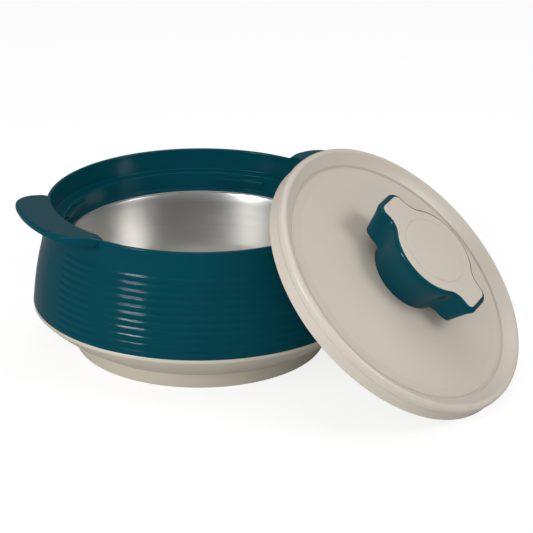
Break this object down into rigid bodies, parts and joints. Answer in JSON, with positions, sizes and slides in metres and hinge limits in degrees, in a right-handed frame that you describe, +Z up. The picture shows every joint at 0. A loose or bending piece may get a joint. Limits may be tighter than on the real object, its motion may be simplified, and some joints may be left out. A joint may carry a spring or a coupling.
{
  "type": "insulated casserole with lift-off lid",
  "caption": "Insulated serving casserole with a steel bowl, ribbed drum, ear handles and a twist-lock lid leaning on its rim.",
  "frame": {"origin": "centre of the pot's foot ring, on the table", "axes": "+Z up along the pot's axis; -Y towards the side the picture is taken from; +X towards the side where the lid leans"},
  "size_m": [0.3669, 0.3196, 0.1624],
  "materials": {
    "shell_teal": "dark teal moulded plastic, satin to gloss",
    "lid_beige": "light beige moulded plastic, soft gloss",
    "base_beige": "light beige moulded plastic, soft gloss",
    "liner_beige": "light beige moulded plastic, matt",
    "bowl_steel": "stainless steel, fine circular brushing",
    "foam": "rigid insulating foam",
    "silicone": "translucent white silicone",
    "fastener_steel": "zinc plated steel"
  },
  "bodies": {
    "casserole": {"outer_shell": "shell_teal", "steel_bowl": "bowl_steel", "bowl_seal": "silicone", "body_foam": "foam", "base_cover": "base_beige", "base_fill_plug": "base_beige"},
    "gasket": {"lid_gasket": "silicone"},
    "lid": {"lid_cover": "lid_beige", "lid_liner": "liner_beige", "lid_foam": "foam", "lid_fill_plug": "liner_beige", "lid_handle": "shell_teal", "handle_cap": "lid_beige", "handle_screws": "fastener_steel", "handle_washers": "fastener_steel"}
  },
  "joints": [
    {"name": "lid_lift", "type": "slide", "parent": "casserole", "child": "gasket", "axis": [0, 0, 1], "range_m": [0, 0.15]},
    {"name": "lid_twist", "type": "hinge", "parent": "gasket", "child": "lid", "pos_m": [0.13572, -0.08814, 0.07598], "axis": [0.5868, -0.3811, 0.7145], "range_deg": [-25, 0]}
  ]
}
